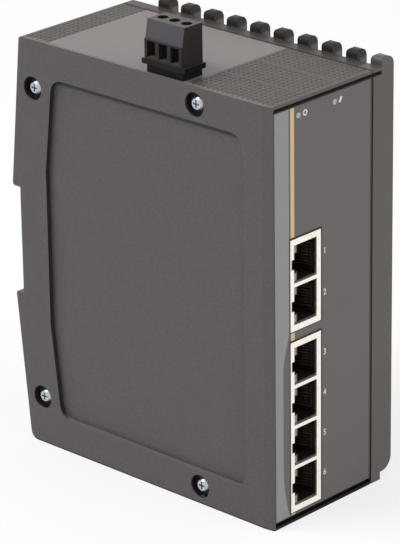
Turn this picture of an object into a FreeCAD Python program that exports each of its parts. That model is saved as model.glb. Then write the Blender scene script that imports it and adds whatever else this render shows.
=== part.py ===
import FreeCAD, Part
import math
import os

from FreeCAD import Vector

# Six-port DIN-rail Ethernet switch with power feed over its ports.
#
# All lengths are millimetres.  The working axes are those of the housing:
# x runs from the outer face of the side cover to the fin tips, y from the front
# to the rail, z from the base up.  save() moves each piece to the model frame,
# whose origin is the middle of the base of the bounding box.
#
# The walls are clamped between the side cover and the heat sink by four long
# spacers.  The boards hang on the heat sink, the jacks look out of the front
# panel and the supply plug sits in a header that passes through the top cover.

# ---------------------------------------------------------------- housing
HEIGHT = 142.0              # base to top cover
BODY_WIDTH = 47.8           # cover face to heat-sink plate
REAR_DEPTH = 114.4          # front to rear beside the rail
REAR_LEAN = 5.2             # less at top and base
WALL = 2.0                  # top, base and rear walls
REAR_TOP_ROUND = 1.2
REAR_BASE_ROUND = 3.0
LIP_ROUND = 1.0
FIT = 0.15                  # play between parts that locate each other

# ---------------------------------------------------------------- rail seat
RAIL_WIDTH = 35.0           # top-hat rail
RAIL_EDGE = 1.0             # sheet thickness of the rail
NOTCH_HEIGHT = 37.4
NOTCH_DEPTH = 3.5
RAIL_RISE = 0.4             # rail centre above the notch centre
HOOK_WIDTH = 22.0
HOOK_OVERLAP = 1.5          # hook and latch reach over the rail edge
HOOK_BACK = 0.2             # hook and latch stay inside the rear outline

# ---------------------------------------------------------------- side cover
COVER_RIM = 1.1             # visible edge, laps over the walls
COVER_THICKNESS = 3.6
BEVEL_LENGTH = 3.6
BEVEL_DROP = 0.55
PANEL_FRONT = 11.8          # recessed panel, distance from each edge
PANEL_TOP = 11.5
PANEL_REAR = 14.4
PANEL_REAR_AT_RAIL = 15.8
PANEL_DEPTH = 1.7
PANEL_CORNER = 5.0
PANEL_BEND = 12.0
PANEL_BEND_RISE = 8.0       # beyond the notch
COUNTERBORE = 8.0
COUNTERBORE_DEPTH = 2.6

# ---------------------------------------------------------------- screws and spacers
SCREW_THREAD = 3.0
SCREW_PLAY = 0.3
SCREW_HEAD = 4.9
SCREW_HEAD_HEIGHT = 1.8
SCREW_HEAD_CHAMFER = 0.7
SCREW_LENGTH = 8.0
THREAD_PLAY = 0.05
CROSS_LENGTH = 2.6
CROSS_WIDTH = 0.6
CROSS_DEPTH = 1.1
SPACER_FLATS = 5.0
SPACER_STUD = 3.2
SPACER_BORE = 9.0
FRONT_SCREW_DEPTH = 31.8    # from the front
FRONT_SCREW_INSET = 6.0     # from top and base
REAR_SCREW_INSET = 5.7      # from the rear edge
REAR_SCREW_HEIGHT = 16.6    # from top and base

# ---------------------------------------------------------------- heat sink
PLATE_THICKNESS = 4.4
FIN_REACH = 5.4
FIN_COUNT = 10
FIN_PITCH = 10.2
FIN_ROOT = 4.6
FIN_TIP = 2.8
FIN_ROOT_ROUND = 1.4
FIN_RISE = 3.0              # fins stand above the plate
FIN_LIFT = 2.7              # and end above its base
FIN_TOP_ROUND = 3.0
FIN_INNER_ROUND = 1.6
FIN_CROWN_ROUND = 1.0
FIN_BASE_ROUND = 4.5
FIN_SINK = 0.4              # fin roots run into the plate
PEDESTAL_DEPTH = 26.0
PEDESTAL_HEIGHT = 28.0

# ---------------------------------------------------------------- top and base covers
GRILLE_PITCH = 2.08
GRILLE_SLOT = 1.25
GRILLE_FRONT = 1.6          # first rib
GRILLE_FRONT_SLOTS = 16
GRILLE_REAR_SLOTS = 5
GRILLE_REAR_MARGIN = 12.0   # last slots start this far from the rear edge
GRILLE_EDGE = 0.7           # closed strip at each end of the slots
GRILLE_BRIDGES = 2
GRILLE_BRIDGE = 1.2
FRONT_LIP = 1.0
FRONT_SLOT_DEPTH = 3.0
SHADOW_GAP = 0.6
SHADOW_DEPTH = 0.8
RIB = 1.2
RIB_DROP = 2.4

# ---------------------------------------------------------------- front
PANEL_SETBACK = 0.5
PANEL_SIDE_GAP = 0.4
PANEL_END_GAP = 0.3
FLANGE_DEPTH = 7.0
FLANGE = 1.8
LABEL = 0.25
LIGHT_DROP = 5.6            # below the top
LIGHT_ONE = 12.7
LIGHT_TWO = 29.6
LIGHT_DIAMETER = 1.9
LIGHT_PROUD = 0.1

# ---------------------------------------------------------------- jacks
PORT_PITCH = 13.97
LOWER_PORTS = 4
UPPER_PORTS = 2
LOWER_GROUP_BASE = 3.4
GROUP_GAP = 3.62
JACK_LEFT = 8.7
JACK_WIDTH = 14.3
JACK_DEPTH = 21.0
JACK_SETBACK = 0.1
JACK_END = 1.4              # beyond the outer ports
JACK_CLEARANCE = 0.35
SHIELD = 0.4
SHIELD_FACE = 0.8
FACE_LEFT = 1.7
FACE_RIGHT = 2.0
FACE_DIVIDER = 1.2
PLUG_SPACE = 11.9           # socket, along the port row
PLUG_SPACE_DEPTH = 13.0
LATCH_SPACE = 6.2
LATCH_LEVEL = 12.7          # from the cover face
LATCH_NOTCH = 3.4
LATCH_NOTCH_EDGE = 0.5
CONTACT_COUNT = 8
CONTACT_PITCH = 1.02
CONTACT_WIDTH = 0.45
CONTACT_THICKNESS = 0.35
CONTACT_RISE = 3.0
CONTACT_FRONT = 2.4
CONTACT_BACK = 10.5
GUIDE_DEPTH = 3.0
GUIDE_PLAY = 0.05

# ---------------------------------------------------------------- boards
BOARD = 1.6
BOARD_GAP = 0.2             # jacks to the face of their group
BOARD_FRONT = 8.6
BOARD_REAR_MARGIN = 10.2    # from the rear edge
BOARD_END = 3.5             # clear of the base and of the top
SPACER_CLEARANCE = 1.4
BOARD_SPACER_FRONT = 44.0
BOARD_SPACER_REAR = 11.0    # from the rear of the board
BOARD_SPACER_INSET = 24.0   # from top and base
PORT_COIL = (5.4, 5.6, 11.4)       # depth, height on board, length along the row
PORT_COIL_GAP = 0.7                # behind the jacks
SWITCH_CHIP = (16.0, 1.6)
SWITCH_CHIP_AT = (62.0, 60.0)
FEED_CHIP = (12.0, 2.2)
FEED_CHIP_AT = (66.0, 64.0)
THERMAL_PAD = 1.0
CORE = (20.0, 16.0, 22.0)
CORE_AT = (66.0, 98.0)
CORE_WINDOW = 3.2
CAPACITOR = (10.0, 16.0)
CAPACITORS_AT = ((30.0, 84.0), (30.0, 97.0), (30.0, 110.0))

# ---------------------------------------------------------------- supply plug
POLES = 3
POLE_PITCH = 5.08
PLUG_MIDDLE = 45.3          # from the front
PLUG_LEFT = 0.5             # from the cover face
PLUG_WIDTH = 9.6
PLUG_LENGTH = 15.8
PLUG_TOP = 17.0             # above the top cover
PLUG_SLOPE = 1.1
PLUG_SLOPE_HEIGHT = 6.0
PLUG_STEP = 0.5             # ledge under the slope
PLUG_FLANGE = 1.7
PLUG_EAR = 1.3
SCREW_HOLE = 3.6
SCREW_HOLE_SINK = 3.2
WIRE_SLOT = 3.6
WIRE_SLOT_HEIGHT = 5.3
WIRE_SLOT_SILL = 0.8
WIRE_SLOT_DEPTH = 7.0
CAGE_LENGTH = 3.4
CAGE_WALL = 0.6
HEADER_LEFT = 1.3
HEADER_WIDTH = 8.7
HEADER_LENGTH = 15.4
HEADER_HEIGHT = 13.5
HEADER_RISE = 2.5           # above the top cover
HEADER_WALL = 1.2
HEADER_FLOOR = 4.0
PIN = 1.0
PIN_TOP = 2.5               # below the header rim
PIN_TAIL = 1.6
PIN_PLAY = 0.15
POWER_BOARD = (19.0, 48.0)  # width, depth
POST = 5.0
POST_OFFSET = 19.0          # from the plug's middle

# ---------------------------------------------------------------- rail latch
LATCH_WIDTH = 12.0
LATCH_FLANGE = 2.0          # runs under the guide lips at each side
LATCH_FLANGE_THICKNESS = 1.4
LATCH_BODY = 1.5
LATCH_FLOOR = 7.4           # channel floor, ahead of the rear line
LATCH_BASE = 14.0
LATCH_WINDOW_WIDTH = 5.2
LATCH_WINDOW_SILL = 10.0
LATCH_TRAVEL = 4.0
LATCH_PLAY = 0.1
TAB = (8.0, 4.4)
TAB_RISE = 1.4
TAB_PROUD = 1.5
TAB_SLOT = (4.6, 1.4)
GUIDE_WALL = 2.0
GUIDE_FLOOR = 1.6
STOP = 2.0
SPRING_WIRE = 0.6
SPRING_DIAMETER = 4.2
SPRING_TURNS = 6
SPRING_SIDES = 6
SPRING_RESERVE = 5.5        # free length left when the latch is fully open

# ---------------------------------------------------------------- derived places
EDGE_DEPTH = REAR_DEPTH - REAR_LEAN
TOTAL_WIDTH = BODY_WIDTH + PLATE_THICKNESS + FIN_REACH
PLATE_FACE = BODY_WIDTH + PLATE_THICKNESS
NOTCH_BASE = (HEIGHT - NOTCH_HEIGHT) / 2
NOTCH_TOP = NOTCH_BASE + NOTCH_HEIGHT
NOTCH_FLOOR = REAR_DEPTH - NOTCH_DEPTH
RAIL_BASE = HEIGHT / 2 + RAIL_RISE - RAIL_WIDTH / 2
RAIL_TOP = RAIL_BASE + RAIL_WIDTH
BODY_MIDDLE = BODY_WIDTH / 2
LIGHT_HEIGHT = HEIGHT - LIGHT_DROP
UPPER_GROUP_BASE = LOWER_GROUP_BASE + LOWER_PORTS * PORT_PITCH + 2 * JACK_END + GROUP_GAP
PORT_GROUPS = (
    ("lower", LOWER_GROUP_BASE, LOWER_PORTS),
    ("upper", UPPER_GROUP_BASE, UPPER_PORTS),
)
JACK_RIGHT = JACK_LEFT + JACK_WIDTH
BOARD_LEFT = JACK_RIGHT + BOARD_GAP
BOARD_RIGHT = BOARD_LEFT + BOARD
BOARD_REAR = EDGE_DEPTH - BOARD_REAR_MARGIN
BOARD_SPACERS = tuple(
    (y, z)
    for z in (BOARD_SPACER_INSET, HEIGHT - BOARD_SPACER_INSET)
    for y in (BOARD_SPACER_FRONT, BOARD_REAR - BOARD_SPACER_REAR)
)
INNER_TOP = HEIGHT - WALL
HEADER_TOP = HEIGHT + HEADER_RISE
HEADER_BASE = HEADER_TOP - HEADER_HEIGHT
PIN_LINE = HEADER_LEFT + HEADER_WIDTH / 2
POLE_PLACES = [PLUG_MIDDLE + (i - (POLES - 1) / 2) * POLE_PITCH for i in range(POLES)]
LATCH_WINDOW_HEIGHT = (2 * FIT + STOP + (SPRING_TURNS + 1) * SPRING_WIRE + LATCH_TRAVEL
                       + SPRING_RESERVE)
COVER_SCREWS = (
    (FRONT_SCREW_DEPTH, FRONT_SCREW_INSET),
    (FRONT_SCREW_DEPTH, HEIGHT - FRONT_SCREW_INSET),
    (EDGE_DEPTH - REAR_SCREW_INSET, REAR_SCREW_HEIGHT),
    (EDGE_DEPTH - REAR_SCREW_INSET, HEIGHT - REAR_SCREW_HEIGHT),
)


# ---------------------------------------------------------------- helpers
def block(x0, x1, y0, y1, z0, z1):
    return Part.makeBox(x1 - x0, y1 - y0, z1 - z0, Vector(x0, y0, z0))


def rod_x(y, z, radius, x0, x1):
    return Part.makeCylinder(radius, x1 - x0, Vector(x0, y, z), Vector(1, 0, 0))


def rod_y(x, z, radius, y0, y1):
    return Part.makeCylinder(radius, y1 - y0, Vector(x, y0, z), Vector(0, 1, 0))


def rod_z(x, y, radius, z0, z1):
    return Part.makeCylinder(radius, z1 - z0, Vector(x, y, z0), Vector(0, 0, 1))


def outline(corners):
    """Closed flat wire through (u, v, radius) corners, each rounded by its radius."""
    edges = []
    starts = []
    ends = []
    count = len(corners)
    for index, (u, v, radius) in enumerate(corners):
        here = Vector(u, v, 0)
        back = Vector(*corners[index - 1][:2], 0) - here
        on = Vector(*corners[(index + 1) % count][:2], 0) - here
        back.normalize()
        on.normalize()
        if radius == 0:
            starts.append(here)
            ends.append(here)
            continue
        half = back.getAngle(on) / 2
        reach = radius / math.tan(half)
        middle = (back + on).normalize()
        centre = here + middle * (radius / math.sin(half))
        starts.append(here + back * reach)
        ends.append(here + on * reach)
        edges.append(Part.Arc(starts[-1], centre - middle * radius, ends[-1]).toShape())
    for index in range(count):
        start = ends[index]
        end = starts[(index + 1) % count]
        if (end - start).Length > 1e-6:
            edges.append(Part.LineSegment(start, end).toShape())
    return Part.Wire(Part.__sortEdges__(edges))


def sharp(points):
    return [(u, v, 0) for u, v in points]


def prism_x(corners, x0, x1):
    """Outline in (y, z), drawn out along x."""
    face = Part.Face(outline(corners))
    turn = FreeCAD.Rotation(Vector(0, 1, 0), Vector(0, 0, 1), Vector(1, 0, 0), "XYZ")
    face.Placement = FreeCAD.Placement(Vector(x0, 0, 0), turn)
    return face.extrude(Vector(x1 - x0, 0, 0))


def prism_y(corners, y0, y1):
    """Outline in (x, z), drawn out along y."""
    face = Part.Face(outline(corners))
    turn = FreeCAD.Rotation(Vector(1, 0, 0), Vector(0, 0, 1), Vector(0, -1, 0), "XYZ")
    face.Placement = FreeCAD.Placement(Vector(0, y0, 0), turn)
    return face.extrude(Vector(0, y1 - y0, 0))


def prism_z(corners, z0, z1):
    """Outline in (x, y), drawn out along z."""
    face = Part.Face(outline(corners))
    face.translate(Vector(0, 0, z0))
    return face.extrude(Vector(0, 0, z1 - z0))


def polygon(u, v, sides, corner):
    """Corners of a regular polygon, the first one on the +v side of its middle."""
    turn = 2 * math.pi / sides
    return [(u + corner * math.sin(i * turn), v + corner * math.cos(i * turn))
            for i in range(sides)]


def hexagon_corner(flats):
    return flats / 2 / math.cos(math.pi / 6)


def hexagon_x(y, z, flats, x0, x1):
    return prism_x(sharp(polygon(y, z, 6, hexagon_corner(flats))), x0, x1)


def joined(first, *others):
    return first.fuse(list(others)).removeSplitter()


def without(shape, *tools):
    return shape.cut(list(tools)).removeSplitter()


def save(name, *solids):
    shape = Part.makeCompound(list(solids)) if len(solids) > 1 else solids[0]
    shape = shape.copy()
    shape.translate(Vector(-TOTAL_WIDTH / 2, -REAR_DEPTH / 2, 0))
    shape.exportStep(os.path.join("parts", name + ".step"))


# ---------------------------------------------------------------- shared forms
def side_outline(inset):
    """Side view of the housing, with the rail notch, moved inwards by inset."""
    slope = (REAR_DEPTH - EDGE_DEPTH) / NOTCH_BASE
    lean = inset * math.sqrt(1 + slope * slope)
    rear_at_end = EDGE_DEPTH - lean + slope * inset
    rear_at_lip = REAR_DEPTH - lean - slope * inset
    floor = NOTCH_FLOOR - inset
    ends = max(REAR_BASE_ROUND - inset, 0)
    tops = max(REAR_TOP_ROUND - inset, 0)
    lips = max(LIP_ROUND - inset, 0)
    return [
        (inset, inset, 0),
        (rear_at_end, inset, ends),
        (rear_at_lip, NOTCH_BASE - inset, lips),
        (floor, NOTCH_BASE - inset, 0),
        (floor, NOTCH_TOP + inset, 0),
        (rear_at_lip, NOTCH_TOP + inset, lips),
        (rear_at_end, HEIGHT - inset, tops),
        (inset, HEIGHT - inset, 0),
    ]


def wall_ring():
    """The band of wall that closes the housing between cover and heat sink."""
    outer = prism_x(side_outline(0), COVER_RIM, BODY_WIDTH)
    inner = prism_x(side_outline(WALL), COVER_RIM, BODY_WIDTH)
    return outer.cut(inner)


def shadow_groove():
    """Open joint along the heat sink, cut in the outer face of every wall."""
    left = BODY_WIDTH - SHADOW_GAP
    outer = prism_x(side_outline(0), left, BODY_WIDTH)
    inner = prism_x(side_outline(SHADOW_DEPTH), left, BODY_WIDTH)
    return outer.cut(inner)


def group_height(ports):
    return ports * PORT_PITCH + 2 * JACK_END


def port_centres(base, ports):
    return [base + JACK_END + (i + 0.5) * PORT_PITCH for i in range(ports)]


def all_port_centres():
    return [centre for _, base, ports in PORT_GROUPS for centre in port_centres(base, ports)]


def cross_recess(y, z, x_top):
    half = CROSS_WIDTH / 2
    reach = CROSS_LENGTH / 2
    bottom = x_top + CROSS_DEPTH
    return (
        block(x_top, bottom, y - half, y + half, z - reach, z + reach),
        block(x_top, bottom, y - reach, y + reach, z - half, z + half),
    )


def screw_x(y, z, seat, length):
    """Pan-head cross-recess screw whose head rests on x = seat and points to -x."""
    top = seat - SCREW_HEAD_HEIGHT
    head = rod_x(y, z, SCREW_HEAD / 2, top, seat)
    rim = [edge for edge in head.Edges
           if edge.Curve.TypeId == "Part::GeomCircle" and abs(edge.BoundBox.XMin - top) < 1e-6]
    head = head.makeChamfer(SCREW_HEAD_CHAMFER, rim)
    shank = rod_x(y, z, SCREW_THREAD / 2, seat, seat + length)
    return without(joined(head, shank), *cross_recess(y, z, top))


def spacer_x(y, z, x0, x1):
    """Hexagonal spacer with a stud at x1 and a threaded bore at x0."""
    bar = hexagon_x(y, z, SPACER_FLATS, x0, x1)
    stud = rod_x(y, z, SCREW_THREAD / 2, x1, x1 + SPACER_STUD)
    bore = rod_x(y, z, SCREW_THREAD / 2 + THREAD_PLAY, x0, x0 + SPACER_BORE)
    return without(joined(bar, stud), bore)


# ---------------------------------------------------------------- housing pieces
def side_cover():
    rim = prism_x(side_outline(0), 0, COVER_RIM)
    body = prism_x(side_outline(WALL + FIT), COVER_RIM, COVER_THICKNESS)
    cover = joined(rim, body)
    bevel = prism_z(sharp([(0, 0), (BEVEL_DROP, 0), (0, BEVEL_LENGTH)]), 0, HEIGHT)
    rear_end = EDGE_DEPTH - PANEL_REAR
    rear_rail = REAR_DEPTH - PANEL_REAR_AT_RAIL
    panel = prism_x([
        (PANEL_FRONT, PANEL_TOP, PANEL_CORNER),
        (rear_end, PANEL_TOP, PANEL_CORNER),
        (rear_rail, NOTCH_BASE - PANEL_BEND_RISE, PANEL_BEND),
        (rear_rail, NOTCH_TOP + PANEL_BEND_RISE, PANEL_BEND),
        (rear_end, HEIGHT - PANEL_TOP, PANEL_CORNER),
        (PANEL_FRONT, HEIGHT - PANEL_TOP, PANEL_CORNER),
    ], 0, PANEL_DEPTH)
    tools = [bevel, panel]
    for y, z in COVER_SCREWS:
        tools.append(rod_x(y, z, COUNTERBORE / 2, 0, COUNTERBORE_DEPTH))
        tools.append(rod_x(y, z, (SCREW_THREAD + SCREW_PLAY) / 2, 0, COVER_THICKNESS))
    half = HEADER_LENGTH / 2 + FIT
    tools.append(block(COVER_RIM, COVER_THICKNESS, PLUG_MIDDLE - half, PLUG_MIDDLE + half,
                       HEADER_BASE - FIT, HEIGHT))
    return without(cover, *tools)


def fin_section():
    """Plan view of one fin, root at the plate, tapering to its tip."""
    root = FIN_ROOT / 2
    tip = FIN_TIP / 2
    inner = PLATE_FACE - FIN_SINK
    return [(inner, -root, 0), (TOTAL_WIDTH, -tip, 0), (TOTAL_WIDTH, tip, 0), (inner, root, 0)]


def fin(index):
    middle = FIN_ROOT / 2 + index * FIN_PITCH
    inner = PLATE_FACE - FIN_SINK
    top = HEIGHT + FIN_RISE
    half = FIN_ROOT / 2
    blade = prism_z(fin_section(), FIN_LIFT, top)
    blade.translate(Vector(0, middle, 0))
    if index == 0:
        blade = joined(blade, block(inner, TOTAL_WIDTH, 0, middle, FIN_LIFT, top))
    side = prism_y([
        (inner, FIN_LIFT, 0),
        (TOTAL_WIDTH, FIN_LIFT, FIN_BASE_ROUND),
        (TOTAL_WIDTH, top, FIN_TOP_ROUND),
        (inner, top, FIN_INNER_ROUND),
    ], middle - half, middle + half)
    crown = prism_x([
        (middle - half, FIN_LIFT, 0),
        (middle + half, FIN_LIFT, 0),
        (middle + half, top, FIN_CROWN_ROUND),
        (middle - half, top, FIN_CROWN_ROUND),
    ], inner, TOTAL_WIDTH)
    return blade.common(side).common(crown)


def fin_valley(index):
    """Rounded corners on both sides of the gap after one fin."""
    start = FIN_ROOT + index * FIN_PITCH
    end = start + FIN_PITCH - FIN_ROOT
    face = PLATE_FACE
    radius = FIN_ROOT_ROUND
    fill = []
    for y, way in ((start, 1), (end, -1)):
        corner = block(face - FIN_SINK, face + radius, min(y - way * FIN_SINK, y + way * radius),
                       max(y - way * FIN_SINK, y + way * radius), FIN_LIFT, HEIGHT)
        hollow = rod_z(face + radius, y + way * radius, radius, FIN_LIFT, HEIGHT)
        fill.append(corner.cut(hollow))
    return fill


def heat_sink():
    plate = prism_x(side_outline(0), BODY_WIDTH, PLATE_FACE)
    pieces = [fin(index) for index in range(FIN_COUNT)]
    for index in range(FIN_COUNT - 1):
        pieces.extend(fin_valley(index))
    y, z = FEED_CHIP_AT
    pad_face = BOARD_RIGHT + FEED_CHIP[1] + THERMAL_PAD
    pieces.append(block(pad_face, BODY_WIDTH, y - PEDESTAL_DEPTH / 2, y + PEDESTAL_DEPTH / 2,
                        z - PEDESTAL_HEIGHT / 2, z + PEDESTAL_HEIGHT / 2))
    sink = joined(plate, *pieces)
    slot_top = HEIGHT - FRONT_LIP
    slot_base = INNER_TOP - PANEL_END_GAP
    tools = [block(BODY_WIDTH, PLATE_FACE - FIN_SINK, 0, FRONT_SLOT_DEPTH, slot_base, slot_top)]
    for y, z in COVER_SCREWS + BOARD_SPACERS:
        tools.append(rod_x(y, z, SCREW_THREAD / 2 + THREAD_PLAY, BODY_WIDTH,
                           BODY_WIDTH + SPACER_STUD + FIT))
    return without(sink, *tools)


def grille_slots(z0, z1):
    left = COVER_RIM + GRILLE_EDGE
    right = BODY_WIDTH - SHADOW_GAP - GRILLE_EDGE
    span = right - left
    lengths = GRILLE_BRIDGES + 1
    piece = (span - GRILLE_BRIDGES * GRILLE_BRIDGE) / lengths
    starts = [GRILLE_FRONT + i * GRILLE_PITCH for i in range(GRILLE_FRONT_SLOTS)]
    rear = EDGE_DEPTH - GRILLE_REAR_MARGIN
    starts += [rear + i * GRILLE_PITCH for i in range(GRILLE_REAR_SLOTS)]
    slots = []
    for y in starts:
        for k in range(lengths):
            x = left + k * (piece + GRILLE_BRIDGE)
            slots.append(block(x, x + piece, y, y + GRILLE_SLOT, z0, z1))
    return slots


def end_wall():
    """Top cover blank, also mirrored for the base: wall, grille, front slot and locating rib."""
    ring = wall_ring()
    wall = ring.common(block(0, BODY_WIDTH, 0, REAR_DEPTH, INNER_TOP, HEIGHT))
    rib_front = FLANGE_DEPTH
    rib = block(JACK_RIGHT + JACK_CLEARANCE, BODY_WIDTH, rib_front, rib_front + RIB,
                INNER_TOP - RIB_DROP, INNER_TOP)
    step = block(COVER_RIM, BODY_WIDTH, 0, FRONT_SLOT_DEPTH, INNER_TOP, HEIGHT - FRONT_LIP)
    wall = without(wall, step, shadow_groove(), *grille_slots(INNER_TOP, HEIGHT))
    return joined(wall, rib)


def header_window(shape):
    half = HEADER_LENGTH / 2 + FIT
    window = block(COVER_RIM, HEADER_LEFT + HEADER_WIDTH + FIT, PLUG_MIDDLE - half,
                   PLUG_MIDDLE + half, INNER_TOP, HEIGHT)
    return without(shape, window)


def post_places():
    return [(PIN_LINE + HEADER_WIDTH, PLUG_MIDDLE - POST_OFFSET),
            (PIN_LINE + HEADER_WIDTH, PLUG_MIDDLE + POST_OFFSET)]


def top_cover():
    cover = header_window(end_wall())
    for x, y in post_places():
        post = rod_z(x, y, POST / 2, HEADER_BASE, INNER_TOP)
        bore = rod_z(x, y, SCREW_THREAD / 2 + THREAD_PLAY, HEADER_BASE, INNER_TOP - WALL)
        cover = without(joined(cover, post), bore)
    return cover


def base_cover():
    return end_wall().mirror(Vector(0, 0, HEIGHT / 2), Vector(0, 0, 1))


def latch_channel():
    """Room for the latch: a wide slot for its flanges and a narrower mouth behind it."""
    floor = REAR_DEPTH - LATCH_FLOOR
    wide = LATCH_WIDTH / 2 + LATCH_FLANGE + FIT
    narrow = LATCH_WIDTH / 2 + FIT
    flange_top = floor + LATCH_FLANGE_THICKNESS + 2 * LATCH_PLAY
    return (
        block(BODY_MIDDLE - wide, BODY_MIDDLE + wide, floor, flange_top, WALL, NOTCH_BASE - WALL),
        block(BODY_MIDDLE - narrow, BODY_MIDDLE + narrow, floor, REAR_DEPTH, WALL, NOTCH_BASE),
    )


def rear_wall():
    ring = wall_ring()
    wall = ring.common(block(0, BODY_WIDTH, EDGE_DEPTH / 2, REAR_DEPTH, WALL, INNER_TOP))
    floor = REAR_DEPTH - LATCH_FLOOR
    guide_half = LATCH_WIDTH / 2 + LATCH_FLANGE + FIT + GUIDE_WALL
    guide = block(BODY_MIDDLE - guide_half, BODY_MIDDLE + guide_half, floor - GUIDE_FLOOR,
                  REAR_DEPTH, WALL, NOTCH_BASE)
    guide = guide.common(prism_x(side_outline(0), 0, BODY_WIDTH))
    hook_back = REAR_DEPTH - HOOK_BACK
    hook_front = NOTCH_FLOOR + RAIL_EDGE + LATCH_PLAY
    hook_tip = RAIL_TOP - HOOK_OVERLAP
    hook = prism_x([
        (hook_front, NOTCH_TOP + WALL / 2, 0),
        (hook_front, hook_tip, 0),
        (hook_back - HOOK_OVERLAP / 2, hook_tip, 0),
        (hook_back, hook_tip + HOOK_OVERLAP, 0),
        (hook_back, NOTCH_TOP + WALL / 2, 0),
    ], BODY_MIDDLE - HOOK_WIDTH / 2, BODY_MIDDLE + HOOK_WIDTH / 2)
    wall = joined(wall, guide, hook)
    tools = list(latch_channel()) + [shadow_groove()]
    for y, z in COVER_SCREWS:
        if y > EDGE_DEPTH / 2:
            half = SPACER_FLATS / 2 + FIT
            tools.append(block(0, BODY_WIDTH, y - half, y + half, z - half - FIT * 3, z + half + FIT * 3))
    wall = without(wall, *tools)
    sill = LATCH_BASE + LATCH_WINDOW_SILL + FIT * 2
    stop = block(BODY_MIDDLE - STOP, BODY_MIDDLE + STOP, floor - GUIDE_FLOOR / 2,
                 floor + LATCH_FLANGE_THICKNESS + LATCH_BODY, sill, sill + STOP)
    return joined(wall, stop)


def front_panel():
    left = COVER_RIM + PANEL_SIDE_GAP
    right = BODY_WIDTH - PANEL_SIDE_GAP
    base = WALL + PANEL_END_GAP
    top = INNER_TOP - PANEL_END_GAP
    inner_left = COVER_THICKNESS + FIT
    plate = joined(
        block(left, right, PANEL_SETBACK, WALL, base, top),
        block(inner_left, right, PANEL_SETBACK, FLANGE_DEPTH, top - FLANGE, top),
        block(inner_left, right, FRONT_SLOT_DEPTH, FLANGE_DEPTH, top - FLANGE, INNER_TOP),
        block(inner_left, right, PANEL_SETBACK, FLANGE_DEPTH, base, base + FLANGE),
        block(inner_left, right, FRONT_SLOT_DEPTH, FLANGE_DEPTH, WALL, base + FLANGE),
    )
    return without(plate, *front_openings(0, FLANGE_DEPTH))


def front_openings(y0, y1):
    tools = []
    for _, base, ports in PORT_GROUPS:
        tools.append(block(JACK_LEFT - JACK_CLEARANCE, JACK_RIGHT + JACK_CLEARANCE, y0, y1,
                           base - JACK_CLEARANCE, base + group_height(ports) + JACK_CLEARANCE))
    for x in (LIGHT_ONE, LIGHT_TWO):
        tools.append(rod_y(x, LIGHT_HEIGHT, LIGHT_DIAMETER / 2 + THREAD_PLAY, y0, y1))
    return tools


def front_label():
    left = COVER_RIM + PANEL_SIDE_GAP
    right = BODY_WIDTH - PANEL_SIDE_GAP
    sheet = block(left, right, PANEL_SETBACK - LABEL, PANEL_SETBACK,
                  WALL + PANEL_END_GAP, INNER_TOP - PANEL_END_GAP)
    return without(sheet, *front_openings(0, PANEL_SETBACK))


# ---------------------------------------------------------------- fasteners
def cover_screws():
    return [screw_x(y, z, COUNTERBORE_DEPTH, SCREW_LENGTH) for y, z in COVER_SCREWS]


def cover_spacers():
    return [spacer_x(y, z, COVER_THICKNESS, BODY_WIDTH) for y, z in COVER_SCREWS]


def board_spacers():
    return [spacer_x(y, z, BOARD_RIGHT, BODY_WIDTH) for y, z in BOARD_SPACERS]


def board_screws():
    return [screw_x(y, z, BOARD_LEFT, SCREW_LENGTH) for y, z in BOARD_SPACERS]


# ---------------------------------------------------------------- boards and what they carry
def main_board():
    board = block(BOARD_LEFT, BOARD_RIGHT, BOARD_FRONT, BOARD_REAR, BOARD_END, HEIGHT - BOARD_END)
    tools = []
    for y, z in COVER_SCREWS:
        tools.append(rod_x(y, z, hexagon_corner(SPACER_FLATS) + SPACER_CLEARANCE,
                           BOARD_LEFT, BOARD_RIGHT))
    for y, z in BOARD_SPACERS:
        tools.append(rod_x(y, z, (SCREW_THREAD + SCREW_PLAY) / 2, BOARD_LEFT, BOARD_RIGHT))
    return without(board, *tools)


def port_transformers():
    depth, rise, length = PORT_COIL
    front = JACK_SETBACK + JACK_DEPTH + PORT_COIL_GAP
    return [block(BOARD_LEFT - rise, BOARD_LEFT, front, front + depth,
                  z - length / 2, z + length / 2) for z in all_port_centres()]


def chip(place, size, thickness, face, way):
    y, z = place
    x0, x1 = sorted((face, face + way * thickness))
    return block(x0, x1, y - size / 2, y + size / 2, z - size / 2, z + size / 2)


def thermal_pad():
    return chip(FEED_CHIP_AT, FEED_CHIP[0], THERMAL_PAD, BOARD_RIGHT + FEED_CHIP[1], 1)


def power_transformer():
    depth, rise, length = CORE
    y, z = CORE_AT
    core = block(BOARD_RIGHT, BOARD_RIGHT + rise, y - depth / 2, y + depth / 2,
                 z - length / 2, z + length / 2)
    windows = [block(BOARD_RIGHT + CORE_WINDOW, BOARD_RIGHT + rise - CORE_WINDOW,
                     y + way * depth / 4 - CORE_WINDOW / 2, y + way * depth / 4 + CORE_WINDOW / 2,
                     z - length / 2, z + length / 2) for way in (-1, 1)]
    return without(core, *windows)


def storage_capacitors():
    diameter, length = CAPACITOR
    return [rod_x(y, z, diameter / 2, BOARD_RIGHT, BOARD_RIGHT + length)
            for y, z in CAPACITORS_AT]


def light_guide(x, board_face):
    radius = LIGHT_DIAMETER / 2
    front = PANEL_SETBACK - LABEL - LIGHT_PROUD
    bend = BOARD_FRONT + LIGHT_DIAMETER
    x0, x1 = sorted((x, board_face))
    run = rod_y(x, LIGHT_HEIGHT, radius, front, bend)
    arm = rod_x(bend, LIGHT_HEIGHT, radius, x0, x1)
    elbow = Part.makeSphere(radius, Vector(x, bend, LIGHT_HEIGHT))
    return joined(run, arm, elbow)


def status_light_guides():
    return [light_guide(LIGHT_ONE, BOARD_LEFT), light_guide(LIGHT_TWO, BOARD_RIGHT)]


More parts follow.
